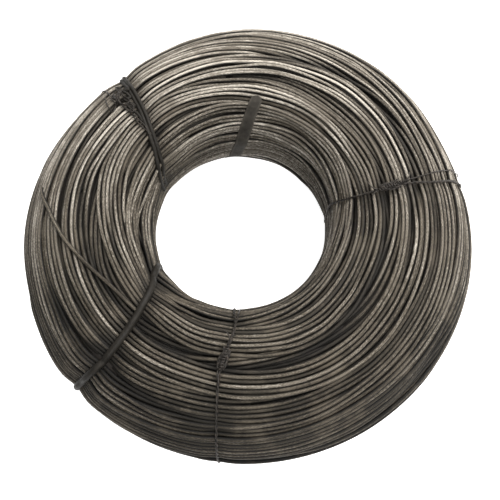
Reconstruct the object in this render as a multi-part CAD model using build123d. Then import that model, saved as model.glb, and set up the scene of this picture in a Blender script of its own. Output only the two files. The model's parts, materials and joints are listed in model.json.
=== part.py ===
"""Coil of steel wire rope, tied for storage and lying on its end.

The rope is wound in layers round a mandrel and taken off as a fat ring. The ring is one turned
solid: its section is a bundle of turns, so half-round turns show on both ends, on the rim and in
the bore. Two cords, two binding wires, a loose wire and a flat strap hold the bundle, and the
rope's outer end is laid across the upper end and tucked against a cord. Each tie lies in a bed
that it has drawn into the turns, so the coil rests on its own turns and its bore stays clear.

Millimetres, +Z up. The origin is on the coil's axis, at the floor.
"""

import os
from math import cos, pi, radians, sin, sqrt, tan

from build123d import *

# The rope and the wound ring
rope_diameter = 6.0
bore_diameter = 186.0
outer_diameter = 484.0
coil_height = 136.0
rim_round_above = 64.0  # corner radii of the ring's section, which sags a little onto the floor
bore_round_above = 54.0
rim_round_below = 50.0
bore_round_below = 42.0
groove_depth = 1.75  # depth of the grooves between turns

# Beds of the ties
bed_clearance = 0.3  # between a tie and the turns round it
least_bed_depth = 2.1  # a bed always goes past the grooves
flush_inset = 0.1  # how far a bedded tie stays inside the ring's outline
runs_per_corner = 8  # straight runs that a tie takes round each corner of the section
bend_share = 0.45  # of the shorter run beside it, which a bend may take up

# Cords, each a closed loop round the bundle
lower_cord_diameter = 7.5
lower_cord_bore_angle = 211.0
lower_cord_rim_angle = 229.0
upper_cord_diameter = 6.5
upper_cord_bore_angle = 150.0
upper_cord_rim_angle = 127.5
cord_proud = 0.55  # the share of a cord's diameter that stands above the upper end

# Binding wires, each a twisted pair closed by a knot on the upper end
wire_pair_diameter = 2.6
wire_proud = 0.6  # the share of a wire's diameter that stands above the upper end
knot_diameter = 6.0
knot_length = 24.0
knot_nose = 0.6  # radius of the flat at a knot's ends
knot_reach = 67.0  # outward from the bore wall to the middle of a knot
right_wire_bore_angle = 7.5
right_wire_rim_angle = 8.0
front_wire_bore_angle = 267.0
front_wire_rim_angle = 264.5

# Loose wire, hooked over the rim and in across the upper end as far as the upper cord
loose_wire_diameter = 1.6
loose_wire_angle = 137.5
loose_wire_cord_gap = 3.0  # between its end and the cord
loose_wire_low_end = 64.0  # its other end's depth below the upper end

# Flat strap bent over the bore's upper edge and down the bore
strap_width = 12.0
strap_thickness = 1.2
strap_proud = 0.5  # how far it stands above the upper end
strap_start_angle = 81.4
strap_start_reach = 33.4  # outward from the bore wall to the middle of its rounded end
strap_foot_angle = 93.3
strap_foot_reach = -6.9  # to a point on its middle line inside the bore
strap_drop = 116.0  # depth of its lower end below the upper end

# Outer end of the rope, laid across the upper end from the rim to the lower cord
rope_end_angles = (165.4, 173.1, 182.4, 191.5, 201.5, 219.3)
rope_end_reaches = (12.6, 32.3, 52.8, 66.5, 78.6, 92.0)  # inward from the rim, one for each angle
rope_end_proud = 0.6  # the share of its diameter that stands above the upper end
rope_end_bend_radius = 60.0
rope_end_samples = 30
least_bend = 0.002  # radians; a turn smaller than this is left straight

bore_radius = bore_diameter / 2
outer_radius = outer_diameter / 2
rope_radius = rope_diameter / 2


def polar(radius, angle):
    """A point of the plan at this distance from the axis."""
    return Vector(radius, 0).rotate(Axis.Z, angle)


def corners(inset, inset_above):
    """Centre and radius of the section's corners, anticlockwise from below the rim."""
    top = coil_height - inset_above + inset
    return [
        (outer_radius - rim_round_below, rim_round_below, rim_round_below - inset),
        (outer_radius - rim_round_above, top - rim_round_above, rim_round_above - inset),
        (bore_radius + bore_round_above, top - bore_round_above, bore_round_above - inset),
        (bore_radius + bore_round_below, bore_round_below, bore_round_below - inset),
    ]


def outline(inset, inset_above):
    """The section's outline moved inward, with x as the radius and y as the height."""
    places = enumerate(corners(inset, inset_above))
    arcs = [CenterArc((x, y), radius, 90 * turn - 90, 90) for turn, (x, y, radius) in places]
    runs = [Line(arc @ 1, following @ 0) for arc, following in zip(arcs, arcs[1:] + arcs[:1])]
    return make_face(arcs + runs)


def turned(face):
    return revolve(Plane.XZ * face, Axis.Z)


def wound_ring():
    """The rope's turns as one turned solid, each turn a flat crest with a flank down to either groove."""
    perimeter = outline(0, 0).face().outer_wire().length
    turns = round(perimeter / rope_diameter - pi)
    spacing = perimeter / (turns + pi)
    centres = outline(spacing / 2, spacing / 2).face().outer_wire()
    crest_half_width = spacing / 2 * tan(pi / 8)
    side = 1 if centres.normal().Z < 0 else -1  # which side of the outline's direction faces out
    points = []
    for turn in range(turns):
        crest, crest_along = centres @ (turn / turns), centres % (turn / turns)
        groove, groove_along = centres @ ((turn + 0.5) / turns), centres % ((turn + 0.5) / turns)
        crest_out, groove_out = [side * along.rotate(Axis.Z, 90) for along in (crest_along, groove_along)]
        top = crest + crest_out * spacing / 2
        points += [top - crest_along * crest_half_width, top + crest_along * crest_half_width]
        points.append(groove + groove_out * (spacing / 2 - groove_depth))
    return turned(make_face(Polyline(*points, close=True)))


class Lay:
    """The upright plane across one side of the ring in which a tie lies."""

    def __init__(self, bore_angle, rim_angle):
        bore, rim = polar(bore_radius, bore_angle), polar(outer_radius, rim_angle)
        self.along = (rim - bore).normalized()
        self.across = self.along.rotate(Axis.Z, 90)
        self.foot = self.across * bore.dot(self.across)

    def at(self, radius, height):
        """The plane's point at this distance from the axis."""
        return self.foot + self.along * sqrt(radius**2 - self.foot.length**2) + Vector(0, 0, height)

    def slab(self, width, start=None):
        """An upright slab along the plane, outward from a distance from the axis."""
        near, far = self.at(start, 0) if start else self.foot, self.at(2 * outer_radius, 0)
        middle = Plane((near + far) / 2, x_dir=self.along, z_dir=(0, 0, 1))
        return middle * Box((far - near).length, width, 3 * coil_height)


def tube(points, diameter, closed=False):
    """A round bar along straight runs, with bends as large as the runs allow."""
    places = [Vector(*point) for point in points]
    following = places[1:] + places[:1]
    bends = list(zip(places, following, following[1:] + following[:1]))
    if closed:
        bends = bends[-1:] + bends[:-1]
    else:
        bends = bends[:-2]
    radii = [bend_share * min((b - a).length, (c - b).length) / tan(turn_between(a, b, c) / 2) for a, b, c in bends]
    path = FilletPolyline(*places, radius=radii, close=closed)
    return sweep(Plane(origin=path @ 0, z_dir=path % 0) * Circle(diameter / 2), path=path)


def turn_between(a, b, c):
    """How far a path turns at b, in radians."""
    return radians((b - a).get_angle(c - b))


def section_points(inset, inset_above):
    """Corners of the straight runs that a tie takes round the section."""
    step = 90 / runs_per_corner
    points = []
    for turn, (x, y, radius) in enumerate(corners(inset, inset_above)):
        reach = radius / cos(radians(step / 2))
        for run in range(runs_per_corner):
            angle = radians(90 * turn - 90 + step * (run + 0.5))
            points.append((x + reach * cos(angle), y + reach * sin(angle)))
    return points


def tie(lay, diameter, proud):
    """A round tie that goes right round the bundle."""
    points = section_points(diameter / 2 + flush_inset, diameter / 2 - proud * diameter)
    return tube([lay.at(*point) for point in points], diameter, closed=True)


def bed(cut, depth, depth_above):
    """What is taken from the ring inside a cutter, down to these depths."""
    return cut - turned(outline(depth, max(least_bed_depth, depth_above)))


def tie_bed(lay, diameter, proud):
    depth = diameter + bed_clearance
    cutter = lay.slab(diameter + 2 * bed_clearance)
    return bed(cutter, depth + flush_inset, depth - proud * diameter)


def knot_place(lay):
    return Plane(lay.at(bore_radius + knot_reach, coil_height), x_dir=lay.along, z_dir=(0, 0, 1))


def knot(lay):
    """The twisted knot of a binding wire, half sunk between the turns."""
    body = Cylinder(knot_diameter / 2, knot_length, rotation=(0, 90, 0))
    return knot_place(lay) * fillet(body.edges(), knot_diameter / 2 - knot_nose)


def knot_bed(lay):
    width = knot_diameter + 2 * bed_clearance
    return knot_place(lay) * Box(knot_length + 2 * bed_clearance, width, width)


def loose_wire_reach(lay, cord_lay):
    """How far from the axis the loose wire stops short of the cord."""
    clear = upper_cord_diameter / 2 + loose_wire_cord_gap
    return (cord_lay.foot.dot(cord_lay.across) + clear) / lay.along.dot(cord_lay.across)


def loose_wire(lay, reach):
    """A wire from its end in the rim, up over the rim and in across the upper end."""
    points = section_points(loose_wire_diameter / 2 + flush_inset, loose_wire_diameter * (0.5 - wire_proud))
    rim_corner = points[runs_per_corner : 2 * runs_per_corner]
    start, end = (rim_corner[0][0], coil_height - loose_wire_low_end), (reach, rim_corner[-1][1])
    return tube([lay.at(*point) for point in [start] + rim_corner + [end]], loose_wire_diameter)


def loose_wire_cutter(lay, reach):
    slab = lay.slab(loose_wire_diameter + 2 * bed_clearance, reach - bed_clearance)
    room = extrude(Rectangle(2 * outer_diameter, 2 * outer_diameter), 2 * coil_height)
    return slab & Pos(0, 0, coil_height - loose_wire_low_end - bed_clearance) * room


def strap_cutter(clearance):
    """The strap's footprint with its round end, drawn out upwards from its lower end."""
    start = polar(bore_radius + strap_start_reach, strap_start_angle)
    foot = polar(bore_radius + strap_foot_reach, strap_foot_angle)
    width = strap_width + 2 * clearance
    run = Plane((start + foot) / 2, x_dir=foot - start, z_dir=(0, 0, 1)) * Rectangle((foot - start).length, width)
    footprint = run + Pos(start) * Circle(width / 2)
    return Pos(0, 0, coil_height - strap_drop - clearance) * extrude(footprint, 2 * coil_height)


def strap():
    outside = turned(outline(flush_inset, -strap_proud))
    inside = turned(outline(flush_inset + strap_thickness, strap_thickness - strap_proud))
    return strap_cutter(0) & outside - inside


def rope_end_plan():
    """The rope end's middle line, seen from above."""
    places = [polar(outer_radius - reach, angle) for reach, angle in zip(rope_end_reaches, rope_end_angles)]
    return FilletPolyline(*places, radius=rope_end_bend_radius)


def height_of_upper_side(radius, inset):
    """Height of the section's outline at this radius, from the bore's round out to the rim."""
    inner, outer = corners(inset, inset)[2], corners(inset, inset)[1]
    x, y, rounding = inner if radius < inner[0] else outer
    past = radius - x if radius > outer[0] or radius < inner[0] else 0
    return y + sqrt(rounding**2 - past**2)


def rope_end():
    """The rope's outer end, following the ring's upper side."""
    plan = rope_end_plan()
    inset = rope_radius - rope_end_proud * rope_diameter
    points = [plan @ (step / rope_end_samples) for step in range(rope_end_samples + 1)]
    lifted = [Vector(p.X, p.Y, height_of_upper_side(p.length, inset)) for p in points]
    bends = [b for a, b, c in zip(lifted, lifted[1:], lifted[2:]) if turn_between(a, b, c) > least_bend]
    return tube([lifted[0], *bends, lifted[-1]], rope_diameter)


def rope_end_cutter():
    """The rope end's footprint with round ends, drawn out upwards."""
    plan = rope_end_plan()
    width = rope_diameter + 2 * bed_clearance
    footprint = trace(plan, width) + [Pos(*(plan @ end)) * Circle(width / 2) for end in (0, 1)]
    return Pos(0, 0, coil_height / 2) * extrude(footprint, 2 * coil_height)


def build():
    """Every piece by the name of its file."""
    lower_lay = Lay(lower_cord_bore_angle, lower_cord_rim_angle)
    upper_lay = Lay(upper_cord_bore_angle, upper_cord_rim_angle)
    right_lay = Lay(right_wire_bore_angle, right_wire_rim_angle)
    front_lay = Lay(front_wire_bore_angle, front_wire_rim_angle)
    loose_lay = Lay(loose_wire_angle, loose_wire_angle)
    loose_reach = loose_wire_reach(loose_lay, upper_lay)
    rope_end_depth = rope_diameter * (1 - rope_end_proud) + bed_clearance
    beds = [
        tie_bed(lower_lay, lower_cord_diameter, cord_proud),
        tie_bed(upper_lay, upper_cord_diameter, cord_proud),
        tie_bed(right_lay, wire_pair_diameter, wire_proud),
        tie_bed(front_lay, wire_pair_diameter, wire_proud),
        knot_bed(right_lay),
        knot_bed(front_lay),
        bed(loose_wire_cutter(loose_lay, loose_reach), least_bed_depth, least_bed_depth),
        bed(strap_cutter(bed_clearance), least_bed_depth, least_bed_depth),
        bed(rope_end_cutter(), rope_end_depth, rope_end_depth),
    ]
    return {
        "rope_coil": wound_ring() - beds,
        "rope_end": rope_end(),
        "lower_cord": tie(lower_lay, lower_cord_diameter, cord_proud),
        "upper_cord": tie(upper_lay, upper_cord_diameter, cord_proud),
        "right_binding_wire": tie(right_lay, wire_pair_diameter, wire_proud) + knot(right_lay),
        "front_binding_wire": tie(front_lay, wire_pair_diameter, wire_proud) + knot(front_lay),
        "loose_wire": loose_wire(loose_lay, loose_reach),
        "flat_strap": strap(),
    }


os.makedirs("parts", exist_ok=True)
for name, shape in build().items():
    export_step(shape, f"parts/{name}.step")
    print(name, len(shape.solids()), len(shape.faces()), shape.is_valid, round(shape.volume), shape.bounding_box())
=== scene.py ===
"""Looks of a coil of wire rope that lies on its end, tied with cords, wires and a strap.

Metres, +Z up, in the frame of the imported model. The outer turns are laid one by one over each
other on an unrolled map of the ring, and Geometry Nodes sweeps each into rope. The ties are laid
on the same map, and the turns give way under them.
"""

import json
import math

import bpy
import numpy as np
from mathutils import Matrix, Vector


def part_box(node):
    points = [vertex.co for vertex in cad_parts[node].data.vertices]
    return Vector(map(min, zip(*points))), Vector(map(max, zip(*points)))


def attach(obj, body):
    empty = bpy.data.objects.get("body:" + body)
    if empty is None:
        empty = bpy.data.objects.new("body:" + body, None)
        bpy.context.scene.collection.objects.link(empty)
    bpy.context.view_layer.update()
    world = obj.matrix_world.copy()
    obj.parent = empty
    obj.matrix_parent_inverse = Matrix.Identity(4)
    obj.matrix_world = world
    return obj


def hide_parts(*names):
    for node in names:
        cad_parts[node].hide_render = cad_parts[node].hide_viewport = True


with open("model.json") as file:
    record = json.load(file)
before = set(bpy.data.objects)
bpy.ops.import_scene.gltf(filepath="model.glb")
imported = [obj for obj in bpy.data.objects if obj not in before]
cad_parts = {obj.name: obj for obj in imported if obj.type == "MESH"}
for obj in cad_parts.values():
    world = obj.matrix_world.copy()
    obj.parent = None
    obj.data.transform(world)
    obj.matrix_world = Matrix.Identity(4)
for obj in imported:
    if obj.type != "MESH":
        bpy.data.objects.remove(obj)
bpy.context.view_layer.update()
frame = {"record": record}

# The ring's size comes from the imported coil. The corners of its section are as round as the coil's.
low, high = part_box("rope_coil")
outer_radius = (high[0] - low[0]) / 2
coil_height = high[2] - low[2]
bore_radius = frame["record"]["mounts"][0]["dims"]["r_mm"] / 1000
rim_round_above, bore_round_above = 0.064, 0.054
rim_round_below, bore_round_below = 0.050, 0.042

rope_diameter = 0.0040  # as fine as the photograph shows it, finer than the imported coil's grooves
rope_radius = rope_diameter / 2
rope_lay = 0.022  # length in which a strand goes once round the rope
lower_cord_diameter, upper_cord_strand, cord_tail_diameter = 0.0075, 0.0048, 0.0030
wire_diameter, wire_lay = 0.0013, 0.013
strap_width, strap_thickness = 0.0128, 0.0012
rope_sides, rope_end_sides, wire_sides = 10, 14, 8
lower_cord_sides, upper_cord_sides, cord_tail_sides = 20, 16, 12
floor_gap = 0.0001  # that stays free below the lowest pieces

# Each tie's course over the upper side, as radius and degrees, from the bore out to the rim
lower_cord_course = [
    (0.0935, 208.5), (0.0991, 213.5), (0.108, 219.7), (0.122, 225.0), (0.144, 228.0),
    (0.167, 229.5), (0.197, 230.0), (0.227, 228.0), (0.2405, 226.2),
]
upper_cord_course = [
    (0.0937, 151.0), (0.104, 144.2), (0.125, 138.2), (0.152, 133.2), (0.180, 130.9),
    (0.198, 130.2), (0.231, 129.0),
]
right_wire_course = [
    (0.0935, 9.3), (0.112, 4.8), (0.146, 5.9), (0.161, 7.3), (0.190, 6.4), (0.222, 7.6), (0.236, 8.0),
]
front_wire_course = [
    (0.0935, 265.5), (0.104, 266.2), (0.118, 268.6), (0.145, 265.0), (0.161, 263.4),
    (0.212, 264.3), (0.236, 264.7),
]

# A second wire lies beside each twisted pair: its course, and the radii where it starts and ends
right_second_wire = ([(0.150, 7.6), (0.172, 8.4), (0.222, 10.9), (0.240, 11.2)], 0.152, 0.2395)
front_second_wire = ([(0.0935, 269.5), (0.104, 268.8), (0.150, 264.9), (0.165, 264.3)], 0.160, 0.096)

# The strap's middle line: radius and degrees on the upper side, then height and degrees in the bore
strap_above = [(0.1274, 81.2), (0.1105, 84.3), (0.0965, 88.4)]
strap_in_bore = [(0.057, 95.5), (0.020, 99.5)]

# What lies freely over the upper side, as points of x and y
upper_cord_tail_plan = [
    (-0.1300, 0.1495), (-0.1213, 0.1371), (-0.1284, 0.1353), (-0.1187, 0.1273), (-0.1250, 0.1239),
    (-0.1130, 0.1160), (-0.1192, 0.1141), (-0.1086, 0.1049), (-0.1039, 0.0978),
]
rope_end_plan = [
    (-0.2130, 0.0420), (-0.2064, 0.0217), (-0.1914, -0.0050), (-0.1740, -0.0323), (-0.1503, -0.0577),
    (-0.1241, -0.0806), (-0.1084, -0.0950), (-0.0970, -0.1048),
]
stray_wire_plans = [
    [
        (-0.1419, 0.1382), (-0.1472, 0.1302), (-0.1418, 0.1159), (-0.1362, 0.1083), (-0.1331, 0.1167),
        (-0.1398, 0.1259), (-0.1371, 0.1313), (-0.1246, 0.1142), (-0.1150, 0.1054), (-0.1010, 0.0926),
        (-0.0961, 0.0835),
    ],
    [
        (-0.1312, 0.1395), (-0.1384, 0.1324), (-0.1314, 0.1226), (-0.1252, 0.1252), (-0.1295, 0.1342),
        (-0.1352, 0.1260), (-0.1268, 0.1162), (-0.1184, 0.1164),
    ],
]
tangle = [  # curls of loose wire: x and y, size and how often each goes round
    (-0.132, 0.134, 0.007, 1.3),
    (-0.126, 0.124, 0.007, 1.5),
    (-0.117, 0.112, 0.005, 1.2),
]

# How far the real coil is drawn in at the rim and opened in its bore, as degrees and millimetres
rim_drawn_in = [
    (0, 0.5), (20, 6), (36, 0.5), (60, 0.3), (90, 0.6), (108, 5.5), (130, 14.0), (150, 11.0),
    (166, 6.5), (180, 4.6), (203, 3.4), (224, -1.2), (245, 0.4), (280, 0), (315, -2.2), (340, -1.2),
]
bore_opened = [
    (0, 1), (40, 3), (90, 0.5), (150, 2.2), (180, 4), (240, 4.2), (270, 3), (310, 2), (335, -0.7),
]
rim_fade, bore_fade, bore_wall_fade = (0.20, 0.14), (0.25, 0.29), (0.30, 0.33)  # round the section
rim_foot, bore_foot = (0.02, 0.07), (0, 0.03)  # heights between which it comes back to the plain section
bore_hollows = [  # degrees that each faces, its height, its reach up and down, and its depth
    (135, 0.027, 0.024, 0.0125),
    (190, 0.062, 0.028, 0.0015),
]

# The dent that each tie draws into the turns: course, depth and half-width
presses = [
    (lower_cord_course, 0.0046, 0.014),
    (upper_cord_course, 0.0040, 0.013),
    (right_wire_course, 0.0014, 0.010),
    (front_wire_course, 0.0014, 0.010),
]

# At the rim's and the bore's edge: distance round the section, reach and share
press_eased = [(0.075, 0.045, 0.45), (0.335, 0.035, 0.60)]
tie_tucked = [(0.075, 0.040, 1.0), (0.345, 0.035, 0.9)]

# The dark lanes between groups of turns: places as degrees and radius, depth and half-width
dark_lanes = [
    ([(88, 0.172), (65, 0.1797), (50, 0.1848), (36, 0.1831), (24, 0.1797), (12, 0.1797), (-4, 0.172)],
     0.0056, 0.0050),
    ([(14, 0.1413), (1, 0.1413), (-20, 0.1456), (-41, 0.149), (-60, 0.155), (-77, 0.160), (-96, 0.159),
      (-114, 0.156), (-130, 0.159)], 0.0050, 0.0042),
    ([(-160, 0.209), (-146, 0.2044), (-132, 0.1981), (-119, 0.206), (-107, 0.2075), (-94, 0.212)],
     0.0042, 0.0080),
    ([(-137, 0.154), (-157, 0.158), (-177, 0.160), (-196, 0.166)], 0.0040, 0.0045),
    ([(-150, 0.130), (-174, 0.1287), (-196, 0.130)], 0.0036, 0.0035),
    ([(-28, 0.2294), (-40, 0.2323), (-56, 0.2356)], 0.0034, 0.0060),
]
lane_runs_on, lane_fade = 8, 18  # degrees past its last places, and those over which it fades


# The ring's section, followed from below the rim: up the rim, over the upper side, down the bore, back

corner_steps = 48  # points of the outline in each rounded corner


def ramp(value, start, end):
    """0 before the start, 1 past the end, and a straight way between them."""
    return np.clip((value - start) / (end - start), 0, 1)


def bell(value, middle, reach):
    """1 in the middle, and softly down to nothing a few reaches away."""
    return np.exp(-(((value - middle) / reach) ** 2))


def unit(vectors):
    """The same directions, one metre long."""
    return vectors / np.linalg.norm(vectors, axis=-1, keepdims=True)


def section_corners():
    """Centre and radius of the section's corners, anticlockwise from below the rim."""
    return [
        (outer_radius - rim_round_below, rim_round_below, rim_round_below),
        (outer_radius - rim_round_above, coil_height - rim_round_above, rim_round_above),
        (bore_radius + bore_round_above, coil_height - bore_round_above, bore_round_above),
        (bore_radius + bore_round_below, bore_round_below, bore_round_below),
    ]


def section_line():
    """Points of the section's outline with their outward directions and distances along it."""
    points, normals = [], []
    for turn, (x, y, radius) in enumerate(section_corners()):
        angles = np.radians(90 * turn - 90 + np.linspace(0, 90, corner_steps))
        normal = np.stack([np.cos(angles), np.sin(angles)], axis=1)
        points.append(np.array([x, y]) + radius * normal)
        normals.append(normal)
    points = np.concatenate(points + [points[0][:1]])
    normals = np.concatenate(normals + [normals[0][:1]])
    along = np.concatenate([[0], np.cumsum(np.linalg.norm(np.diff(points, axis=0), axis=1))])
    return points, normals, along


outline, outline_normals, outline_along = section_line()
perimeter = outline_along[-1]


def by_angle(angle, places):
    """A value in metres that changes smoothly round the ring, from pairs of degrees and millimetres."""
    degrees, values = np.array(places).T
    turned_to = np.mod(np.degrees(angle), 360)
    nearby = [np.interp(turned_to + k, degrees, values, period=360) for k in range(-9, 10, 3)]
    return np.mean(nearby, axis=0) / 1000


def set_back(s, angle):
    """How far the real coil lies inside the plain section."""
    level = np.interp(s, outline_along, outline[:, 1])
    total = ramp(s, *rim_fade) * ramp(level, *rim_foot) * by_angle(angle, rim_drawn_in)
    total = total + ramp(s, *bore_fade) * ramp(level, *bore_foot) * by_angle(angle, bore_opened)
    for faces, height, extent, depth in bore_hollows:
        facing = np.maximum(np.cos(angle - math.radians(faces)), 0)
        total = total + depth * ramp(s, *bore_wall_fade) * bell(level, height, extent) * facing
    return total


def on_section(s, height, angle=None):
    """Radius and height above the floor at distance s round the section, this far off its outline."""
    s = np.mod(s, perimeter)
    if angle is not None:
        height = height - set_back(s, angle)
    point = np.stack([np.interp(s, outline_along, outline[:, k]) for k in range(2)], axis=-1)
    normal = np.stack([np.interp(s, outline_along, outline_normals[:, k]) for k in range(2)], axis=-1)
    return point + unit(normal) * np.asarray(height)[..., None]


def in_space(s, height, angle):
    """The same as a point in space, at an angle round the axis, with the coil's set-back."""
    point = on_section(s, height, angle)
    return np.stack([point[..., 0] * np.cos(angle), point[..., 0] * np.sin(angle), point[..., 1]], axis=-1)


def s_at(radius):
    """Distance round the section at which the upper side has this radius."""
    upper = slice(corner_steps, 3 * corner_steps)
    return np.interp(-radius, -outline[upper, 0], outline_along[upper])


def s_in_bore(level):
    """Distance round the section down the bore's wall to this height above the floor."""
    return outline_along[3 * corner_steps - 1] + coil_height - bore_round_above - level


# The winding

winding_seed = 7
turn_total = 400
bundle_size = (4, 12)  # the fewest turns in a bundle, and one more than the most
bundle_drift, drift_tries = 0.0045, 5
turn_wander = 0.0007
turn_spacing = (0.96, 1.03)  # in rope diameters, within a bundle
start_scatter = 0.0004
first_ground = -2.2 * rope_diameter
crest_level = 0.0  # of most turns, from the section's outline
highest_middle = -0.0008  # of a turn that rides over others
core_depth = 0.0105  # below the outline, where a plain dark core closes the gaps
unevenness = 0.30  # the share of the broad hills and hollows of the winding that stays

# How a turn finds its groove: steps, slip on a slope of 1, pull back to its own path, steepest slope
slips, slip_on_slope, pull_back, steepest = 14, 0.00032, 0.20, 1.2
sag_steps = 40

# The unrolled map of the ring: tracks beside each other round the section, samples round the axis
samples = 240
sample_angles = np.linspace(0, 2 * np.pi, samples, endpoint=False)
track_width = 0.0005
track_count = round(perimeter / track_width)
track_step = perimeter / track_count
tracks = np.arange(track_count) * track_step
reach = np.arange(-int(rope_radius / track_step), int(rope_radius / track_step) + 1)
# How high the rope's upper side lies over its middle, on the tracks that it reaches
dome = np.sqrt(np.maximum(rope_radius**2 - (reach * track_step) ** 2, 0))


def smooth_noise(rng, waves, roughness=1.0):
    """A smooth wander round the axis, of about unit size."""
    total = np.zeros(samples)
    for wave in range(1, waves + 1):
        total += rng.normal() / wave**roughness * np.sin(wave * sample_angles + rng.uniform(0, 2 * np.pi))
    return total / (total.std() + 1e-9)


def under(s):
    """Index of the map under a rope whose middle follows this path, for every angle."""
    rows = np.mod(np.round(s / track_step).astype(int)[:, None] + reach, track_count)
    return rows, np.broadcast_to(np.arange(samples)[:, None], rows.shape)


def resting_height(ground, s):
    """Height of a rope's middle where it first touches the ground."""
    return (ground[under(s)] + dome).max(axis=1)


def even_out(value, times):
    """Takes the sharp bends out of a turn, as its stiffness does."""
    for _ in range(times):
        value = value + 0.25 * (np.roll(value, 1) + np.roll(value, -1) - 2 * value)
    return value


def settle(ground, s):
    """A turn dropped along a path: it slips towards the nearest groove and bridges the hollows."""
    wish = s.copy()
    aside = 2 * track_step
    for _ in range(slips):
        here = resting_height(ground, s)
        left = np.maximum(here - resting_height(ground, s - aside), 0)
        right = np.maximum(here - resting_height(ground, s + aside), 0)
        slope = np.clip((left - right) / aside, -steepest, steepest)
        s = even_out(s - slip_on_slope * slope + pull_back * (wish - s), 6)
    rest = resting_height(ground, s)
    height = even_out(rest, 4)
    for _ in range(sag_steps):
        height = np.maximum(even_out(height, 3), rest)
    return s, even_out(height, 2)


def lay_on(ground, s, height):
    """Raises the map to a turn's upper side."""
    np.maximum.at(ground, under(s), height[:, None] + dome)


def map_of(turns, level):
    """A new map of these turns over a ground at this level."""
    ground = np.full((track_count, samples), level)
    for s, height in turns:
        lay_on(ground, s, height)
    return ground


def lowest_place(rng, ground, width, side):
    """Where a bundle lies lowest that grows by this many tracks to one side."""
    level = ground.mean(axis=1)
    spans = [np.arange(k, k + side * width, side) for k in range(track_count)]
    level = np.array([np.take(level, span, mode="wrap").mean() for span in spans])
    return tracks[np.argmin(level + rng.normal(0, start_scatter, track_count))]


def wind_turns():
    """Paths of the outer turns as distance round the section and height, for every angle.

    The rope goes on in bundles of neighbouring turns. Each goes where the ring is lowest, drifts
    as a whole, and rests on what was laid before it.
    """
    rng = np.random.default_rng(winding_seed)
    ground = np.full((track_count, samples), first_ground)
    turns = []
    while len(turns) < turn_total:
        size, side = int(rng.integers(*bundle_size)), rng.choice((-1, 1))
        width = int(size * rope_diameter / track_step)
        start = lowest_place(rng, ground, width, side)
        drifts = [bundle_drift * smooth_noise(rng, 3) for _ in range(drift_tries)]
        middles = [start + drift + side * width * track_step / 2 for drift in drifts]
        s = start + drifts[int(np.argmin([resting_height(ground, middle).mean() for middle in middles]))]
        for _ in range(size):
            s, height = settle(ground, s + turn_wander * smooth_noise(rng, 8, 0.6))
            lay_on(ground, s, height)
            turns.append((s, height))
            s = s + side * rope_diameter * rng.uniform(*turn_spacing)
    return turns, ground


def blurred(ground, across=12, along=6):
    """The broad hills and hollows of the map."""
    for axis, size in ((0, across), (1, along)):
        for _ in range(2):
            ground = sum(np.roll(ground, k, axis=axis) for k in range(-size, size + 1)) / (2 * size + 1)
    return ground


def course_angle(course, s):
    """Angle of a tie at distance s round the section: its course above, and a straight way back below."""
    radii, degrees = np.array(course).T
    way_back = [perimeter * 0.86, perimeter + 0.020]
    known = np.concatenate([s_at(radii)[::-1], way_back])
    turned_to = np.radians(np.concatenate([degrees[::-1], [degrees[0], degrees[-1]]]))
    s = np.mod(np.asarray(s) - known[0], perimeter) + known[0]
    nearby = np.linspace(-0.012, 0.012, 9)
    return np.mean([np.interp(s + away, known, turned_to) for away in nearby], axis=0)


def at_edges(s, places):
    """A value that rises at the rim's and the bore's edge, from distances, reaches and shares."""
    return sum(share * bell(s, distance, extent) for distance, extent, share in places)


def pressed(s, angle):
    """How far the turns give way here under the ties."""
    radius = on_section(s, np.zeros_like(s))[..., 0]
    total = np.zeros_like(s)
    for course, depth, width in presses:
        away = radius * np.angle(np.exp(1j * (angle - course_angle(course, s))))
        total = np.maximum(total, depth * bell(away, 0, width))
    return total * (1 - at_edges(np.mod(s, perimeter), press_eased))


def lane(s, angle):
    """How deep the dark lanes between the groups of turns are here."""
    degrees, s = np.degrees(angle), np.mod(s, perimeter)
    total = np.zeros_like(s)
    for places, depth, width in dark_lanes:
        turned_to, radii = np.array(places).T
        centre = (turned_to[0] + turned_to[-1]) / 2
        half = abs(turned_to[0] - turned_to[-1]) / 2
        nearest = centre + np.mod(degrees - centre + 180, 360) - 180
        order = np.argsort(turned_to)
        middle = np.interp(nearest, turned_to[order], s_at(radii[order]))
        share = ramp(half + lane_runs_on - np.abs(nearest - centre), 0, lane_fade)
        total = np.maximum(total, depth * share * bell(s, middle, width))
    return total


def off_the_floor(s, height):
    """Turns below are pressed flat, so that none goes through the floor."""
    level = on_section(s, height)[..., 1]
    down = (level - on_section(s, height + 0.001)[..., 1]) / 0.001
    raised = np.maximum(rope_radius - level, 0) / np.maximum(down, 0.2)
    return height - np.where(down > 0.2, raised, 0)


def levelled(turns, ground):
    """The winding with its broad hills taken down, the ties' dents in it, and a new map."""
    broad = blurred(ground)
    lift = (1 - unevenness) * (broad - broad.mean()) + broad.mean()
    made = []
    for s, height in turns:
        row = np.mod(np.round(s / track_step).astype(int), track_count)
        made.append((s, height - even_out(lift[row, np.arange(samples)], 4)))
    rise = crest_level - np.percentile(map_of(made, -1.0), 75)
    sunk = []
    for s, height in made:
        height = np.minimum(height + rise, highest_middle)
        height = height - pressed(s, sample_angles) - lane(s, sample_angles)
        sunk.append((s, off_the_floor(s, height)))
    return sunk, map_of(sunk, -core_depth)


def seen(ground, s, height):
    """Where a turn shows from outside, with a little more at both ends."""
    least_open, tolerance = 2, 2e-5
    open_tracks = (height[:, None] + dome > ground[under(s)] - tolerance).sum(axis=1)
    shows = (open_tracks >= least_open) & (height > -core_depth - rope_radius)
    return np.convolve(np.concatenate([shows[-3:], shows, shows[:3]]), np.ones(7), "valid") > 0


# Round stock swept along paths


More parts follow.
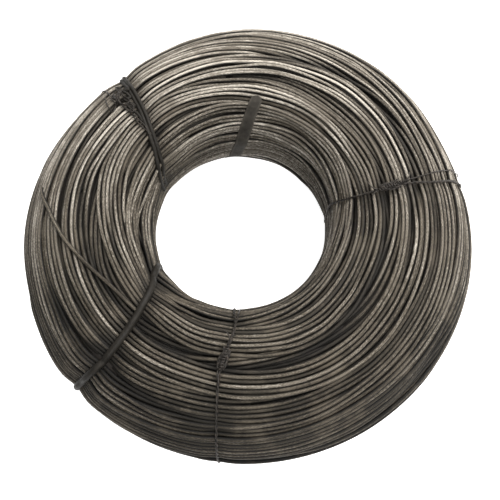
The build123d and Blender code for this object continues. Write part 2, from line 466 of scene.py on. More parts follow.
def rope_sweep():
    """Geometry Nodes that sweep a path into round stock, with the way round it kept for the materials."""
    group = bpy.data.node_groups.new("rope_sweep", "GeometryNodeTree")
    sockets = (("Path", "Geometry"), ("Diameter", "Float"), ("Sides", "Int"), ("Material", "Material"))
    for name, kind in sockets:
        group.interface.new_socket(name, in_out="INPUT", socket_type="NodeSocket" + kind)
    group.interface.new_socket("Rope", in_out="OUTPUT", socket_type="NodeSocketGeometry")

    def add(kind, *sources, **named):
        """A new node, linked in the order of its sockets or by their names."""
        node = group.nodes.new(kind)
        for socket, source in zip(node.inputs, sources):
            group.links.new(source, socket)
        for name, source in named.items():
            group.links.new(source, node.inputs[name])
        return node

    given = add("NodeGroupInput").outputs
    path = add("GeometryNodeMeshToCurve", given["Path"])
    upright = add("GeometryNodeSetCurveNormal", path.outputs[0])
    upright.mode = "Z_UP"
    half = add("ShaderNodeMath", given["Diameter"])
    half.operation = "MULTIPLY"
    half.inputs[1].default_value = 0.5
    ring = add("GeometryNodeCurvePrimitiveCircle", given["Sides"], Radius=half.outputs[0])
    direction = add("ShaderNodeVectorMath", add("GeometryNodeInputPosition").outputs[0])
    direction.operation = "NORMALIZE"
    keep = add("GeometryNodeStoreNamedAttribute", ring.outputs[0])
    keep.data_type, keep.domain = "FLOAT_VECTOR", "POINT"
    keep.inputs["Name"].default_value = "around"
    group.links.new(direction.outputs[0], keep.inputs["Value"])
    sweep = add("GeometryNodeCurveToMesh", upright.outputs[0], keep.outputs[0])
    sweep.inputs["Fill Caps"].default_value = True
    smooth = add("GeometryNodeSetShadeSmooth", sweep.outputs[0])
    paint = add("GeometryNodeSetMaterial", smooth.outputs[0], Material=given["Material"])
    real = add("GeometryNodeRealizeInstances", paint.outputs[0])
    add("NodeGroupOutput", real.outputs[0])
    return group

# The middle of the ring's section, away from which its outline faces
heart_radii = (bore_radius + 0.055, outer_radius - 0.065)
heart_levels = (0.050, coil_height - 0.062)


def outward_at(points):
    """Direction straight out of the ring's section at points near its outline."""
    radius = np.linalg.norm(points[:, :2], axis=1)
    heart, level = np.clip(radius, *heart_radii), np.clip(points[:, 2], *heart_levels)
    across = points[:, :2] / radius[:, None] * (radius - heart)[:, None]
    out = np.column_stack([across, points[:, 2] - level])
    return out / np.maximum(np.linalg.norm(out, axis=1, keepdims=True), 1e-6)


def path_of(points, closed=False, start=0.0, tone=0.5, deep=0.0):
    """A path for swept: its points, where it starts along the stock, its tone and how deep it lies."""
    return {"points": np.asarray(points), "closed": closed, "start": start, "tone": tone, "deep": deep}


def linked(name, data):
    """A new object in the scene."""
    made = bpy.data.objects.new(name, data)
    bpy.context.scene.collection.objects.link(made)
    return made


def store(mesh, name, values, kind="FLOAT"):
    """Keeps a value for each of a mesh's points, which its material reads."""
    held = mesh.attributes.new(name, kind, "POINT")
    key = "vector" if kind == "FLOAT_VECTOR" else "value"
    held.data.foreach_set(key, np.asarray(values, np.float32).ravel())


def swept(name, paths, diameter, sides, material):
    """One piece of round stock along paths, kept above the floor."""
    lines, edges, values = [], [], {"along": [], "tone": [], "deep": []}
    for path in paths:
        line = path["points"]
        line[:, 2] = np.maximum(line[:, 2], diameter / 2 + floor_gap)
        first, count = sum(len(other) for other in lines), len(line)
        lines.append(line)
        edges += [(first + k, first + k + 1) for k in range(count - 1)]
        if path["closed"]:
            edges.append((first + count - 1, first))
        step = np.linalg.norm(np.diff(line, axis=0), axis=1)
        values["along"].append(path["start"] + np.concatenate([[0], np.cumsum(step)]))
        values["tone"].append(np.broadcast_to(path["tone"], count))
        values["deep"].append(np.broadcast_to(path["deep"], count))
    points = np.concatenate(lines)
    mesh = bpy.data.meshes.new(name)
    mesh.from_pydata(points.tolist(), edges, [])
    for key, rows in values.items():
        store(mesh, key, np.concatenate(rows))
    store(mesh, "outward", outward_at(points), "FLOAT_VECTOR")
    piece = linked(name, mesh)
    modifier = piece.modifiers.new("sweep", "NODES")
    modifier.node_group = sweep_group
    given = {"Diameter": diameter, "Sides": sides, "Material": material}
    for item in sweep_group.interface.items_tree:
        if item.name in given and item.in_out == "INPUT":
            modifier[item.identifier] = given[item.name]
    return plain(piece)


def plain(piece):
    """The piece with its modifiers' result as its own mesh."""
    bpy.context.view_layer.update()
    whole_piece = piece.evaluated_get(bpy.context.evaluated_depsgraph_get())
    result = bpy.data.meshes.new_from_object(whole_piece)
    old = piece.data
    piece.modifiers.clear()
    piece.data = result
    bpy.data.meshes.remove(old)
    return piece


def from_mesh(name, points, faces, material):
    """A smooth piece from points and faces."""
    mesh = bpy.data.meshes.new(name)
    mesh.from_pydata([tuple(p) for p in points], [], faces)
    mesh.polygons.foreach_set("use_smooth", [True] * len(mesh.polygons))
    mesh.materials.append(material)
    return linked(name, mesh)


# Materials

rope_strands, outer_wires = 6, 28  # that show round the rope
weave_waves = 3600  # of the strap's weave, in radians a metre


class Nodes:
    """A material's node tree, written as sums of its sockets."""

    def __init__(self, name):
        self.material = bpy.data.materials.new(name)
        self.material.use_nodes = True
        self.tree = self.material.node_tree
        self.shader = next(node for node in self.tree.nodes if node.type == "BSDF_PRINCIPLED")

    def feed(self, socket, value):
        """Links a socket's value, or sets a plain one."""
        if isinstance(value, bpy.types.NodeSocket):
            self.tree.links.new(value, socket)
        else:
            socket.default_value = value

    def add(self, kind, *values, operation=None, **named):
        """A new node, fed in the order of its sockets or by their names."""
        node = self.tree.nodes.new("ShaderNode" + kind)
        if operation:
            node.operation = operation
        for socket, value in zip(node.inputs, values):
            self.feed(socket, value)
        for name, value in named.items():
            self.feed(node.inputs[name], value)
        return node

    def math(self, operation, *values):
        """One step of arithmetic."""
        return self.add("Math", *values, operation=operation).outputs[0]

    def times(self, one, other):
        """One number times another."""
        return self.math("MULTIPLY", one, other)

    def swayed(self, value, by, share):
        """The value moved up or down by a share of another that lies round a half."""
        return self.math("ADD", value, self.times(self.math("SUBTRACT", by, 0.5), share))

    def attribute(self, name, part="Fac"):
        """A value that the mesh keeps on its points."""
        node = self.add("Attribute")
        node.attribute_name = name
        return node.outputs[part]

    def combine(self, x, y, z):
        """A vector from three numbers."""
        return self.add("CombineXYZ", x, y, z).outputs[0]

    def split(self, vector):
        """A vector's three numbers."""
        return self.add("SeparateXYZ", vector).outputs

    def place(self):
        """Where the point lies in the shared frame."""
        return self.add("TexCoord").outputs["Object"]

    def noise(self, vector, scale, detail=2.0, roughness=0.5):
        """Soft noise from 0 to 1."""
        node = self.add("TexNoise", Vector=vector, Scale=scale, Detail=detail, Roughness=roughness)
        return node.outputs["Fac"]

    def spread(self, value, low, high, to_low=0.0, to_high=1.0):
        """The value's range from low to high drawn out to another, softly."""
        node = self.add("MapRange", value, low, high, to_low, to_high)
        node.interpolation_type = "SMOOTHSTEP"
        return node.outputs["Result"]

    def colours(self, value, *stops):
        """A colour for the value, between stops of place and colour."""
        node = self.add("ValToRGB", value)
        elements = node.color_ramp.elements
        while len(elements) < len(stops):
            elements.new(0.5)
        for element, (place, colour) in zip(elements, stops):
            element.position, element.color = place, (*colour, 1)
        return node.outputs[0]

    def darker(self, colour, share):
        """The colour times a number."""
        return self.add("VectorMath", colour, operation="SCALE", Scale=share).outputs[0]

    def dot(self, one, other):
        """How far two directions agree."""
        return self.add("VectorMath", one, other, operation="DOT_PRODUCT").outputs["Value"]

    def bump(self, height, distance):
        """Raises the surface by a height from 0 to 1, times a distance."""
        node = self.add("Bump", Strength=1.0, Distance=distance, Height=height)
        self.feed(self.shader.inputs["Normal"], node.outputs[0])

    def finish(self, colour, roughness, metallic=0.0, **more):
        """Feeds the shader and gives the finished material."""
        self.feed(self.shader.inputs["Base Color"], colour)
        self.feed(self.shader.inputs["Roughness"], roughness)
        self.feed(self.shader.inputs["Metallic"], metallic)
        for key, value in more.items():
            self.feed(self.shader.inputs[key.replace("_", " ")], value)
        return self.material


def way_round(nodes):
    """The angle round the stock, and its cosine and sine."""
    x, y, _ = nodes.split(nodes.attribute("around", "Vector"))
    return nodes.math("ARCTAN2", y, x), x, y


def strand_height(nodes, angle):
    """Height of the twisted strands' rounds, from 0 in their grooves to 1 on their crests."""
    twist = nodes.times(nodes.attribute("along"), math.pi * rope_strands / rope_lay)
    phase = nodes.math("MULTIPLY_ADD", angle, rope_strands / 2, twist)
    return nodes.math("POWER", nodes.math("ABSOLUTE", nodes.math("SINE", phase)), 0.7)


def greased_rope():
    """Bright steel wire under old grease and dust, worn clean along the crests in streaks, with painted
    shade on its flanks, in the strands' grooves, on the lower turns and towards the near side.
    """
    nodes = Nodes("greased_wire_rope")
    angle, x, y = way_round(nodes)
    along, tone, deep = (nodes.attribute(name) for name in ("along", "tone", "deep"))
    strands = strand_height(nodes, angle)
    wires = nodes.math("ABSOLUTE", nodes.math("SINE", nodes.times(angle, outer_wires / 2)))
    streak_place = nodes.combine(
        nodes.math("MULTIPLY_ADD", along, 34, nodes.times(tone, 91)),
        nodes.times(x, 3.2),
        nodes.math("MULTIPLY_ADD", y, 3.2, nodes.times(tone, 37)),
    )
    streaks = nodes.noise(streak_place, 1.0, 5, 0.66)
    fleck_place = nodes.combine(nodes.times(along, 420), nodes.times(x, 3), y)
    flecks = nodes.noise(fleck_place, 1.0, 2)
    broad = nodes.noise(nodes.place(), 9.0, 3)
    # The value that picks the rope's colour: wear in streaks, flecks, tone and broad patches, less the
    # painted shade of the lower turns and of the near side.
    wear_and_shade = nodes.swayed(streaks, flecks, 0.80)
    wear_and_shade = nodes.swayed(wear_and_shade, tone, 0.50)
    wear_and_shade = nodes.swayed(wear_and_shade, broad, 0.30)
    # Painted shade: turns that lie deeper are painted darker.
    wear_and_shade = nodes.math("SUBTRACT", wear_and_shade, nodes.times(deep, 0.34))
    # Painted shade and light: the rope is painted darker towards the near side, away from the window light,
    # and a little lighter on the far side.
    from_near_side = nodes.split(nodes.place())[1]
    wear_and_shade = nodes.math("ADD", wear_and_shade, nodes.spread(from_near_side, -0.22, 0.12, -0.275, 0.045))
    dull = nodes.spread(nodes.noise(nodes.place(), 26.0, 4, 0.6), 0.47, 0.66, 0.0, 0.75)
    wear_and_shade = nodes.math("ADD", wear_and_shade, nodes.times(dull, nodes.math("SUBTRACT", 0.43, wear_and_shade)))
    colour = nodes.colours(
        wear_and_shade,
        (0.18, (0.020, 0.016, 0.010)),
        (0.38, (0.078, 0.065, 0.047)),
        (0.54, (0.208, 0.187, 0.156)),
        (0.78, (0.515, 0.480, 0.420)),
    )
    # Painted shade between the turns: flanks that face away from the ring's outside, into the gaps, are
    # painted far darker, and the worn crests stay bright.
    normal = nodes.add("NewGeometry").outputs["Normal"]
    facing = nodes.dot(normal, nodes.attribute("outward", "Vector"))
    flank_shade = nodes.spread(facing, 0.42, 1.0, 0.06, 1.0)
    flank_shade = nodes.math("MAXIMUM", flank_shade, nodes.times(dull, 0.45))
    # Painted shade in the strands' grooves, which are painted darker than their crests.
    groove = nodes.spread(strands, 0.0, 0.7, 0.70, 1.0)
    # Painted shade on the lower turns, which lie in the hollows between the higher ones.
    shade_below_crests = nodes.spread(deep, 0.15, 1.0, 1.0, 0.35)
    # The colour with the painted shade of the strands' grooves, the lower turns and the flanks.
    colour = nodes.darker(colour, nodes.times(nodes.times(groove, shade_below_crests), flank_shade))
    nodes.bump(nodes.math("MULTIPLY_ADD", wires, 0.16, strands), 0.00018)
    return nodes.finish(
        colour,
        nodes.spread(wear_and_shade, 0.3, 0.75, 0.70, 0.50),
        nodes.spread(wear_and_shade, 0.35, 0.7, 0.05, 0.30),
        Specular_IOR_Level=0.35,
    )


def grease_and_shade_core():
    """Old dirt and grease, painted nearly black as the shade on the turns deep inside the coil."""
    nodes = Nodes("grease_and_shade_core")
    dirt = nodes.noise(nodes.place(), 160.0, 4)
    nodes.bump(dirt, 0.001)
    colour = nodes.colours(dirt, (0.3, (0.006, 0.005, 0.004)), (0.7, (0.022, 0.017, 0.013)))
    return nodes.finish(colour, 0.7)


def plastic_cord():
    """Smooth black cord with a dull shine, dusty where it has been handled."""
    nodes = Nodes("smooth_black_cord")
    angle, x, y = way_round(nodes)
    along = nodes.attribute("along")
    dust = nodes.noise(nodes.combine(nodes.times(along, 40), x, y), 1.6, 4, 0.6)
    fibre = nodes.math("SINE", nodes.math("MULTIPLY_ADD", along, 1400, nodes.times(angle, 2)))
    nodes.bump(nodes.math("MULTIPLY_ADD", fibre, 0.12, dust), 0.0003)
    colour = nodes.colours(dust, (0.3, (0.0040, 0.0034, 0.0024)), (0.72, (0.016, 0.0135, 0.010)))
    return nodes.finish(colour, nodes.spread(dust, 0.3, 0.7, 0.52, 0.72), Specular_IOR_Level=0.25)


def annealed_wire():
    """Soft black iron wire with a few brown rust spots."""
    nodes = Nodes("annealed_black_wire")
    spots = nodes.noise(nodes.place(), 420.0, 3)
    nodes.bump(spots, 0.0002)
    colour = nodes.colours(
        spots,
        (0.35, (0.012, 0.011, 0.010)),
        (0.62, (0.040, 0.034, 0.029)),
        (0.80, (0.085, 0.048, 0.028)),
    )
    return nodes.finish(colour, 0.5, 0.55)


def woven_strap():
    """Matte dark strap with a fine weave and worn, dusty patches."""
    nodes = Nodes("matte_flat_strap")
    along, across = nodes.attribute("along"), nodes.attribute("across")
    weave = nodes.math(
        "MULTIPLY",
        nodes.math("SINE", nodes.times(along, weave_waves)),
        nodes.math("SINE", nodes.times(across, weave_waves)),
    )
    dust = nodes.noise(nodes.place(), 130.0, 5, 0.65)
    nodes.bump(nodes.math("MULTIPLY_ADD", weave, 0.3, dust), 0.0003)
    edge = nodes.spread(nodes.math("ABSOLUTE", across), 0.0040, 0.0058, 1.0, 1.45)
    colour = nodes.colours(dust, (0.3, (0.018, 0.016, 0.013)), (0.7, (0.048, 0.043, 0.036)))
    return nodes.finish(nodes.darker(colour, edge), 0.78, Specular_IOR_Level=0.25)

sweep_group = rope_sweep()
rope_look, core_look, cord_look = greased_rope(), grease_and_shade_core(), plastic_cord()
wire_look, strap_look = annealed_wire(), woven_strap()


def stands_for(piece, slot, *nodes):
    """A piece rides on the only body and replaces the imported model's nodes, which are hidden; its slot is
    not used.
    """
    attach(piece, "root")
    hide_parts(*nodes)


# The coil

tone_seed = 23
tone_spread, tone_wander = 0.21, 0.07  # between turns, and along each
# How deep a turn lies sets its painted shade, and in the dark lanes a share of the lane's depth is added to
# it.
deep_range, lane_shade_share = 0.0075, 0.3  # from the crests to the darkest, and a lane's share of it
side_ends = {  # the pieces that the turns make, and how far round the section each side ends
    "turns_on_the_rim": 0.100,
    "turns_above_the_rim": 0.200,
    "turns_above_the_bore": 0.316,
    "turns_in_the_bore": 0.422,
    "turns_below": perimeter,
}


def paths_by_side(turns, ground):
    """The stretches of the turns that show, shared out by the side of the ring on which they lie."""
    look = np.random.default_rng(tone_seed)
    sides = {name: [] for name in side_ends}
    ends = list(side_ends.values())[:-1]
    for s, height in turns:
        shows = seen(ground, s, height)
        if not shows.any():
            continue
        # Painted shade: how far a turn lies below the crests, with part of a dark lane's depth, sets how
        # dark it is painted.
        below = 0.0002 - height - rope_radius + lane_shade_share * lane(s, sample_angles)
        deep = np.clip(below / deep_range, 0, 1)
        tone = 0.5 + tone_spread * look.normal() + tone_wander * smooth_noise(look, 5)
        tone = np.clip(tone, 0, 1)
        points = in_space(s, height, sample_angles)
        start = look.uniform(0, 5)
        whole_turn = bool(shows.all())
        order = np.roll(np.arange(samples), -int(np.argmin(shows)))
        changes = np.flatnonzero(np.diff(shows[order].astype(int))) + 1
        for run in np.split(order, changes):
            if len(run) < 3 or not shows[run[0]]:
                continue
            middle = float(np.mod(s[run].mean(), perimeter))
            name = list(sides)[int(np.searchsorted(ends, middle))]
            sides[name].append(path_of(points[run], whole_turn, start, tone[run], deep[run]))
    return sides


def core():
    """The inside of the coil, painted dark as shade, which only shows between the turns."""
    count, around = 160, 180
    s = np.linspace(0, perimeter, count, endpoint=False)
    angles = np.linspace(0, 2 * np.pi, around, endpoint=False)
    points = [point for a in angles for point in in_space(s, np.full(count, -core_depth), np.full(count, a))]
    faces = []
    for turn in range(around):
        here, there = turn * count, (turn + 1) % around * count
        for k in range(count):
            after = (k + 1) % count
            faces.append((here + k, there + k, there + after, here + after))
    return from_mesh("core", points, faces, core_look)


turns, ground = levelled(*wind_turns())
for name, paths in paths_by_side(turns, ground).items():
    stands_for(swept(name, paths, rope_diameter, rope_sides, rope_look), "rope", "rope_coil")
stands_for(core(), "rope", "rope_coil")


# The ties, laid over the map of the turns


def ground_at(s, angle, reach_s=2):
    """Height of the turns' crests near here."""
    rows = np.round(np.asarray(s) / track_step).astype(int)
    columns = np.round(np.asarray(angle) / (2 * np.pi) * samples).astype(int)
    found = [
        ground[np.mod(rows + j, track_count), np.mod(columns + k, samples)]
        for j in range(-reach_s, reach_s + 1)
        for k in (-1, 0, 1)
    ]
    return np.max(found, axis=0)


def smoothed(values, half, ends="edge"):
    """A running mean with soft edges, over this many places on either side."""
    kernel = np.hanning(2 * half + 3)[1:-1]
    return np.convolve(np.pad(values, half, ends), kernel / kernel.sum(), "valid")


def drawn_tight(height, span):
    """A closed line over the crests that bridges the hollows between them."""
    top = np.max([np.roll(height, k) for k in range(-span, span + 1)], axis=0)
    return smoothed(top, span, "wrap")


def laid_over(height, half, times):
    """The same for a line with two ends, a little looser each time."""
    for _ in range(times):
        top = np.max([height, np.roll(height, 1), np.roll(height, -1)], axis=0)
        top[0], top[-1] = height[0], height[-1]
        height = smoothed(top, half)
    return height


def outward_along(line, s, height, angle, ahead):
    """Direction away from the ring at points of a line, square to the way ahead."""
    outward = line - in_space(s, height - 0.01, angle)
    return unit(outward - ahead * (outward * ahead).sum(axis=1, keepdims=True))


def loop_over(course, sink, span, tuck, count=420):
    """A tight loop right round the bundle along a course, with its outward and sideways directions."""
    s = np.linspace(0, perimeter, count, endpoint=False)
    angle = course_angle(course, s)
    height = drawn_tight(ground_at(s, angle), span) + sink - tuck * at_edges(s, tie_tucked)
    line = in_space(s, height, angle)
    ahead = unit(np.roll(line, -1, axis=0) - np.roll(line, 1, axis=0))
    outward = outward_along(line, s, height, angle, ahead)
    return line, outward, np.cross(ahead, outward)


def way_along(line):
    """Distances along a closed line from its first point, and its whole length."""
    step = np.linalg.norm(np.roll(line, -1, axis=0) - line, axis=1)
    return np.concatenate([[0], np.cumsum(step)[:-1]]), step.sum()


def over_turns(plan, lift, count=160, times=3):
    """A free path over the upper side through points of the plan, resting on the turns."""
    plan = np.asarray(plan, float)
    t = np.linspace(0, len(plan) - 1, count)
    k = np.clip(t.astype(int), 0, len(plan) - 2)
    f = (t - k)[:, None]
    a, b = plan[k], plan[k + 1]
    before, after = plan[np.maximum(k - 1, 0)], plan[np.minimum(k + 2, len(plan) - 1)]
    slope = 2 * a + (b - before) * f
    bend = (2 * before - 5 * a + 4 * b - after) * f**2
    swing = (3 * a - before - 3 * b + after) * f**3
    flat = 0.5 * (slope + bend + swing)
    s, angle = s_at(np.linalg.norm(flat, axis=1)), np.arctan2(flat[:, 1], flat[:, 0])
    return in_space(s, laid_over(ground_at(s, angle, 3), 3, times) + lift, angle)


# The cords

cord_sink, cord_span = -0.0010, 5
lower_cord_tuck, upper_cord_tuck = 0.0034, 0.0030
upper_cord_roll, upper_cord_roll_length = 0.35, 0.26
strand_offset, strands_apart = 0.43, 0.0032  # in strand diameters, and at the bore in metres


def lower_cord():
    """The thick cord round the bundle at the lower left."""
    line, _, _ = loop_over(lower_cord_course, cord_sink, cord_span, lower_cord_tuck)
    path = path_of(line, closed=True)
    return swept("lower_cord_tied", [path], lower_cord_diameter, lower_cord_sides, cord_look)


def upper_cord():
    """Two strands of a doubled cord, lying side by side and coming apart at the bore's upper edge."""
    line, outward, side = loop_over(upper_cord_course, cord_sink, cord_span, upper_cord_tuck)
    along, _ = way_along(line)
    rolls = round(along[-1] / upper_cord_roll_length)
    roll = upper_cord_roll * np.sin(2 * np.pi * along / along[-1] * rolls)[:, None]
    near_bore = (np.linalg.norm(line[:, :2], axis=1) < 0.110) & (line[:, 2] > 0.06)
    apart = smoothed(np.where(near_bore, strands_apart, 0.0), 19, "wrap")[:, None]
    away = (np.cos(roll) * side + np.sin(roll) * outward) * upper_cord_strand * strand_offset
    paths = [
        path_of(line + away + apart * side, closed=True, start=0.7),
        path_of(line - away, closed=True, start=-0.7),
    ]
    return swept("upper_cord_tied", paths, upper_cord_strand, upper_cord_sides, cord_look)


def upper_cord_tail():
    """The upper cord's end, which lies in short bends beside it."""
    path = path_of(over_turns(upper_cord_tail_plan, 0.0010))
    return swept("upper_cord_tail", [path], cord_tail_diameter, cord_tail_sides, cord_look)


# The binding wires

knot_seed = 5
knot_length, knot_lift, knot_radius = 0.024, 0.0022, 0.0021
wire_sink, wire_span, wire_tuck, wire_lift = wire_diameter / 2, 14, 0.0021, 0.0009
binding_wires = [  # node, course, how far out its knot lies, and its second wire
    ("right_binding_wire", right_wire_course, 0.151, right_second_wire),
    ("front_binding_wire", front_wire_course, 0.150, front_second_wire),
]


def twisted_pair(line, outward, side):
    """Two wires twisted round each other along a loop."""
    along, length = way_along(line)
    phase = along / length * round(length / wire_lay) * 2 * np.pi
    paths = []
    for turn in (0, np.pi):
        away = np.cos(phase + turn)[:, None] * side + np.sin(phase + turn)[:, None] * outward
        paths.append(path_of(line + away * wire_diameter * 0.52, closed=True))
    return paths


def wire_tail(rng, end, sign, ahead, side, up):
    """A tail of wire that curls away from a knot."""
    curl = np.linspace(0, 1, 26)[1:]
    bend_side, lift = rng.uniform(-1, 1), rng.uniform(0.2, 0.6)
    length = rng.uniform(0.010, 0.020)
    return (
        end
        + sign * np.sin(curl * 1.7)[:, None] * length * 0.6 * ahead
        + (bend_side * (1 - np.cos(curl * 2.1)))[:, None] * length * 0.6 * side
        + (lift * np.sin(curl * 3.0))[:, None] * length * 0.35 * up
    )


def scribble(rng, centre, spreads, turns_round):
    """A wire's end curled up at random, within these spreads of a centre."""
    t = np.linspace(0, 1, int(34 * turns_round))
    points = np.tile(np.asarray(centre, float), (len(t), 1))
    for spread in spreads:
        total = np.zeros(len(t))
        for slowest, fastest, size in ((0.5, 1.2, 1.0), (1.4, 2.2, 0.35)):
            wave, phase = rng.uniform(slowest, fastest) * turns_round, rng.uniform(0, 6.3)
            total += size * np.sin(2 * np.pi * wave * t + phase)
        points += total[:, None] * 0.75 * np.asarray(spread)
    return points


def knot_of_wire(rng, line, outward, side, reach_out):
    """The wire's ends: a tight twist that lies over the loop, tails that curl away, and loose curls."""
    flat = np.linalg.norm(line[:, :2], axis=1)
    upper = np.flatnonzero(line[:, 2] > coil_height * 0.8)
    middle = upper[int(np.argmin(np.abs(flat[upper] - reach_out)))]
    up, side = outward[middle], side[middle]
    centre = line[middle] + up * knot_lift
    ahead = np.cross(side, up)
    ahead *= np.sign(ahead @ np.append(line[middle, :2], 0))
    t = np.linspace(-0.5, 0.5, 90)
    paths = []
    for turn in (0, np.pi):
        phase = t * 2 * np.pi * 5 + turn
        swell = knot_radius * (1 - 0.55 * np.abs(2 * t) ** 2) * (1 + 0.25 * np.sin(t * 17 + turn))
        twist = (
            centre
            + t[:, None] * knot_length * ahead
            + (swell * np.cos(phase))[:, None] * side
            + (swell * np.sin(phase))[:, None] * up
        )
        after = wire_tail(rng, twist[-1], 1, ahead, side, up)
        before = wire_tail(rng, twist[0], -1, ahead, side, up)
        paths.append(path_of(np.concatenate([before[::-1], twist, after])))
    for _ in range(4):
        paths.append(path_of(scribble(rng, centre, (ahead * 0.010, side * 0.0042, up * 0.0013), 2.6)))
    return paths


def single_wire(course, start, end):
    """One wire laid over the turns between two radii."""
    s = np.linspace(s_at(start), s_at(end), 140)
    radii, degrees = np.array(course).T
    angle = np.radians(np.interp(on_section(s, np.zeros_like(s))[:, 0], radii, degrees))
    return path_of(in_space(s, smoothed(ground_at(s, angle, 4), 6) + wire_lift, angle))


def binding_wire(rng, node, course, reach_out, second_wire):
    """A twisted pair right round the bundle with its knot, and the second wire beside it."""
    loop = loop_over(course, wire_sink, wire_span, wire_tuck, count=900)
    paths = twisted_pair(*loop) + knot_of_wire(rng, *loop, reach_out) + [single_wire(*second_wire)]
    return swept(node + "_twisted", paths, wire_diameter, wire_sides, wire_look)


# The rope's end, the strap and the loose wire

loose_wire_seed = 9
hooked_wire_angle = math.radians(137.5)


def rope_end():
    """The rope's outer end, which crosses the upper side from the rim and goes under the lower cord."""
    count = 160
    lift = rope_radius * np.interp(np.arange(count), [0, 26, 130, count - 1], [-2.8, 0.45, 0.45, -0.6])
    path = path_of(over_turns(rope_end_plan, lift, count), tone=0.30)
    return swept("rope_outer_end", [path], rope_diameter, rope_end_sides, rope_look)


def flat_strap():
    """A flat strap bent over the bore's upper edge and down the bore, with a rounded upper end."""
    places = [s_at(radius) for radius, _ in strap_above] + [s_in_bore(level) for level, _ in strap_in_bore]
    degrees = [turned_to for _, turned_to in strap_above + strap_in_bore]
    s = np.linspace(places[0], places[-1], 170)
    angle = smoothed(np.radians(np.interp(s, places, degrees)), 8)
    height = laid_over(ground_at(s, angle, 3), 4, 5) + 0.0001
    line = in_space(s, height, angle)
    ahead = unit(np.gradient(line, axis=0))
    outward = outward_along(line, s, height, angle, ahead)
    across = np.cross(ahead, outward)[:, None]
    travelled = s - s[0]
    half = strap_width / 2 * np.sqrt(1 - ramp(travelled, strap_width / 2, 0) ** 2)
    half = np.maximum(half, 0.0006) * (1 + 0.10 * ramp(travelled, 0.02, 0.05))
    columns = np.array([-1, -0.97, -0.88, -0.6, -0.3, 0, 0.3, 0.6, 0.88, 0.97, 1])
    edge = np.array([0.35, 0.75, 1, 1, 1, 1, 1, 1, 1, 0.75, 0.35]) * strap_thickness
    crown = 0.0002 * (1 - columns**2)
    below = line[:, None] + (half[:, None] * columns)[..., None] * across
    above = below + (edge + crown)[None, :, None] * outward[:, None]
    ring = np.concatenate([above, below[:, ::-1]], axis=1)
    rows, wide = ring.shape[:2]
    faces = []
    for row in range(rows - 1):
        here, there = row * wide, (row + 1) * wide
        for k in range(wide):
            after = (k + 1) % wide
            faces.append((here + k, here + after, there + after, there + k))
    faces += [tuple(range(wide))[::-1], tuple((rows - 1) * wide + k for k in range(wide))]
    piece = from_mesh("flat_strap_bent", ring.reshape(-1, 3), faces, strap_look)
    store(piece.data, "along", np.repeat(travelled, wide))
    store(piece.data, "across", half[:, None] * np.concatenate([columns, columns[::-1]]))
    return piece


def hooked_wire():
    """A thin wire hooked over the rim beside the upper cord."""
    s = np.linspace(0.085, s_at(0.118), 200)
    height = smoothed(ground_at(s, np.full_like(s, hooked_wire_angle), 3), 8)
    wander = 0.012 * np.sin(np.linspace(0, 9, len(s))) + 0.008 * np.sin(np.linspace(1, 23, len(s)))
    return path_of(in_space(s, height + 0.0008, hooked_wire_angle + wander))


def wire_curl(rng, x, y, size, turns_round):
    """A curl of loose wire that hops over the turns."""
    plan = scribble(rng, (x, y, 0), ((size, -size, 0), (0.6 * size, 0.6 * size, 0)), turns_round)
    s, angle = s_at(np.hypot(plan[:, 0], plan[:, 1])), np.arctan2(plan[:, 1], plan[:, 0])
    hops = np.sin(np.linspace(0, 4 * turns_round, len(s)) + rng.uniform(0, 6))
    lift = 0.0010 + 0.0012 * (1 + hops)
    return path_of(in_space(s, smoothed(ground_at(s, angle, 4), 4) + lift, angle))


def loose_wire():
    """The hooked wire with its tangle of curls and its stray lengths."""
    rng = np.random.default_rng(loose_wire_seed)
    paths = [hooked_wire()] + [wire_curl(rng, *curl) for curl in tangle]
    paths += [path_of(over_turns(plan, 0.0012, 240, 2)) for plan in stray_wire_plans]
    return swept("loose_wire_tangled", paths, wire_diameter, wire_sides, wire_look)


stands_for(lower_cord(), "cord", "lower_cord")
stands_for(upper_cord(), "cord", "upper_cord")
knots = np.random.default_rng(knot_seed)
for node, *plan in binding_wires:
    stands_for(binding_wire(knots, node, *plan), "binding_wire", node)
stands_for(upper_cord_tail(), "cord", "upper_cord")
stands_for(rope_end(), "rope", "rope_end")
stands_for(flat_strap(), "strap", "flat_strap")
stands_for(loose_wire(), "binding_wire", "loose_wire")


# Floor, light and camera


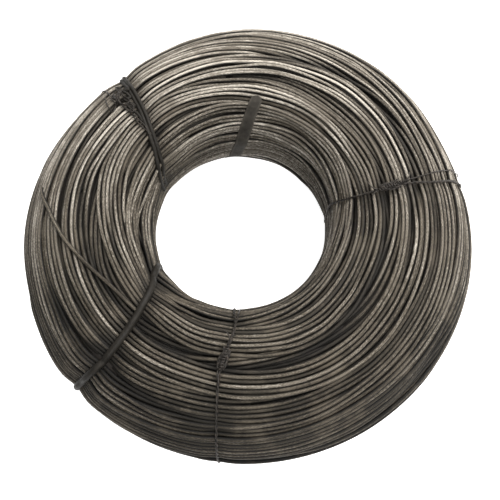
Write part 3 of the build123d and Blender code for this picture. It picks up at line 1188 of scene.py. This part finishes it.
def floor_piece():
    """A pale floor that shows white to the camera and in reflections, and keeps the coil's shadow."""
    nodes = Nodes("white_floor")
    rays = nodes.add("LightPath").outputs
    white = nodes.math("MAXIMUM", rays["Is Camera Ray"], rays["Is Glossy Ray"])
    white = nodes.math("MAXIMUM", white, rays["Is Transmission Ray"])
    glow = nodes.add("Emission", (1, 1, 1, 1), nodes.times(white, 0.84))
    nodes.finish((0.86, 0.86, 0.86, 1), 0.9, Specular_IOR_Level=0.0)
    both = nodes.add("AddShader", nodes.shader.outputs[0], glow.outputs[0])
    out = next(node for node in nodes.tree.nodes if node.type == "OUTPUT_MATERIAL")
    nodes.feed(out.inputs["Surface"], both.outputs[0])
    size = 6.0
    corners = [(-size, -size, 0), (size, -size, 0), (size, size, 0), (-size, size, 0)]
    return from_mesh("floor", corners, [(0, 1, 2, 3)], nodes.material)


floor_piece()


def lamp(name, place, target, size, power, colour):
    """A round lamp that shines on a target."""
    data = bpy.data.lights.new(name, "AREA")
    data.shape, data.size, data.energy = "DISK", size, power
    data.color = colour
    light = linked(name, data)
    light.location = place
    light.rotation_euler = (Vector(target) - Vector(place)).to_track_quat("-Z", "Y").to_euler()


lamp("window", (0.30, 0.80, 0.78), (0, 0.08, 0.05), 1.7, 22.5, (1.0, 0.95, 0.90))
lamp("doorway", (0.10, -0.50, 0.80), (0, 0.09, 0.06), 0.5, 3.8, (1.0, 0.98, 0.95))
lamp("side_window", (0.90, 0.10, 0.62), (0.1, 0, 0.06), 0.6, 4.6, (1.0, 0.99, 0.96))
lamp("ceiling", (0.60, 0.25, 1.6), (0, 0, 0.05), 1.0, 15.0, (1.0, 0.98, 0.95))

world = bpy.data.worlds.new("room")
world.use_nodes = True
bpy.context.scene.world = world
background = world.node_tree.nodes["Background"]
background.inputs["Strength"].default_value = 0.36
background.inputs["Color"].default_value = (1, 1, 1, 1)

# The camera is fitted to the photograph's outline, its hole and the direction of its turns.
camera_data = bpy.data.cameras.new("photographer")
camera_data.sensor_width, camera_data.lens = 36.0, 40.884
camera_data.shift_x, camera_data.shift_y = 0.0144, -0.0468
camera = linked("photographer", camera_data)
bpy.context.scene.camera = camera
eye, aim = Vector((0.02647, -0.20103, 0.66363)), Vector((0, 0, 0.068))
back = (eye - aim).normalized()
right = Vector((0, 1, 0)).cross(back).normalized()
camera.matrix_world = Matrix((right, back.cross(right), back)).transposed().to_4x4()
camera.location = eye
bpy.context.scene.view_settings.view_transform = "Standard"
